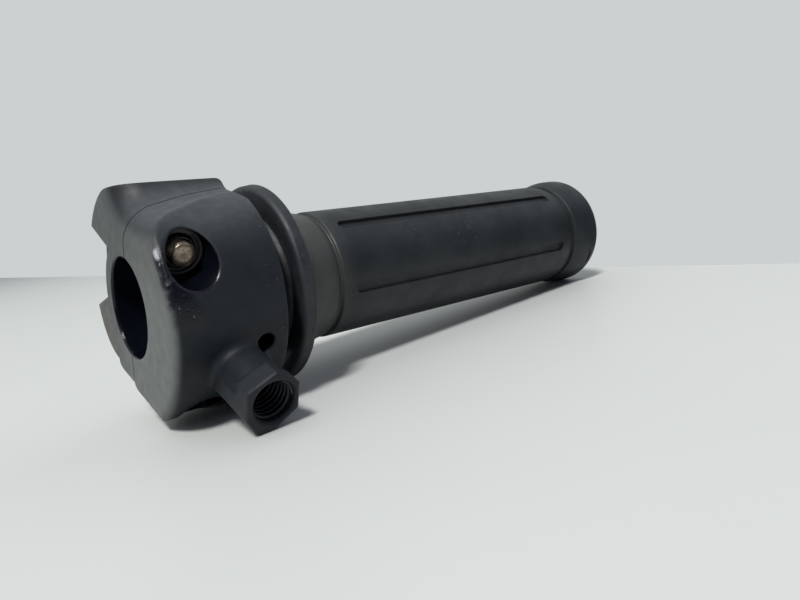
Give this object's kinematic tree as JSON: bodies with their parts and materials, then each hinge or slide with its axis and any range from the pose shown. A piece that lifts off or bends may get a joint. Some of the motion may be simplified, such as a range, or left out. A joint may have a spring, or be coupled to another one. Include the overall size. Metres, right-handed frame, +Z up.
{
  "type": "throttle grip",
  "caption": "Motorcycle twist throttle: a two-piece clamp housing with a threaded cable socket, and a rubber grip on a turning tube with a cable drum.",
  "frame": {"origin": "on the handlebar's centre line, in the plane of the housing's inboard face", "axes": "+X along the handlebar towards the free end of the grip, +Z up as the grip lies on a table, cable socket pointing along -Y and 22 degrees down"},
  "size_m": [0.1472, 0.0614, 0.0517],
  "materials": {
    "cast_black": "satin black paint on a die casting, worn along its edges",
    "moulded_black": "smooth black moulded plastic",
    "grip_rubber": "fine matt rubber with dust in its corners",
    "nylon": "natural nylon",
    "screw_steel": "tarnished yellow-zinc steel",
    "zinc_steel": "zinc-plated steel",
    "insert_steel": "oily blackened steel"
  },
  "bodies": {
    "housing": {"housing_front": "cast_black", "housing_rear": "cast_black", "clamp_screw_upper": "screw_steel", "clamp_screw_lower": "screw_steel", "flat_washer_upper": "zinc_steel", "flat_washer_lower": "zinc_steel", "spring_washer_upper": "zinc_steel", "spring_washer_lower": "zinc_steel", "thread_insert_upper": "insert_steel", "thread_insert_lower": "insert_steel", "alignment_dowel_upper": "zinc_steel", "alignment_dowel_lower": "zinc_steel", "thrust_washer": "nylon"},
    "twist": {"throttle_tube": "moulded_black", "rubber_grip": "grip_rubber"}
  },
  "joints": [
    {"name": "throttle_twist", "type": "hinge", "parent": "housing", "child": "twist", "pos_m": [0, 0, 0], "axis": [1, 0, 0], "range_deg": [0, 80]}
  ]
}
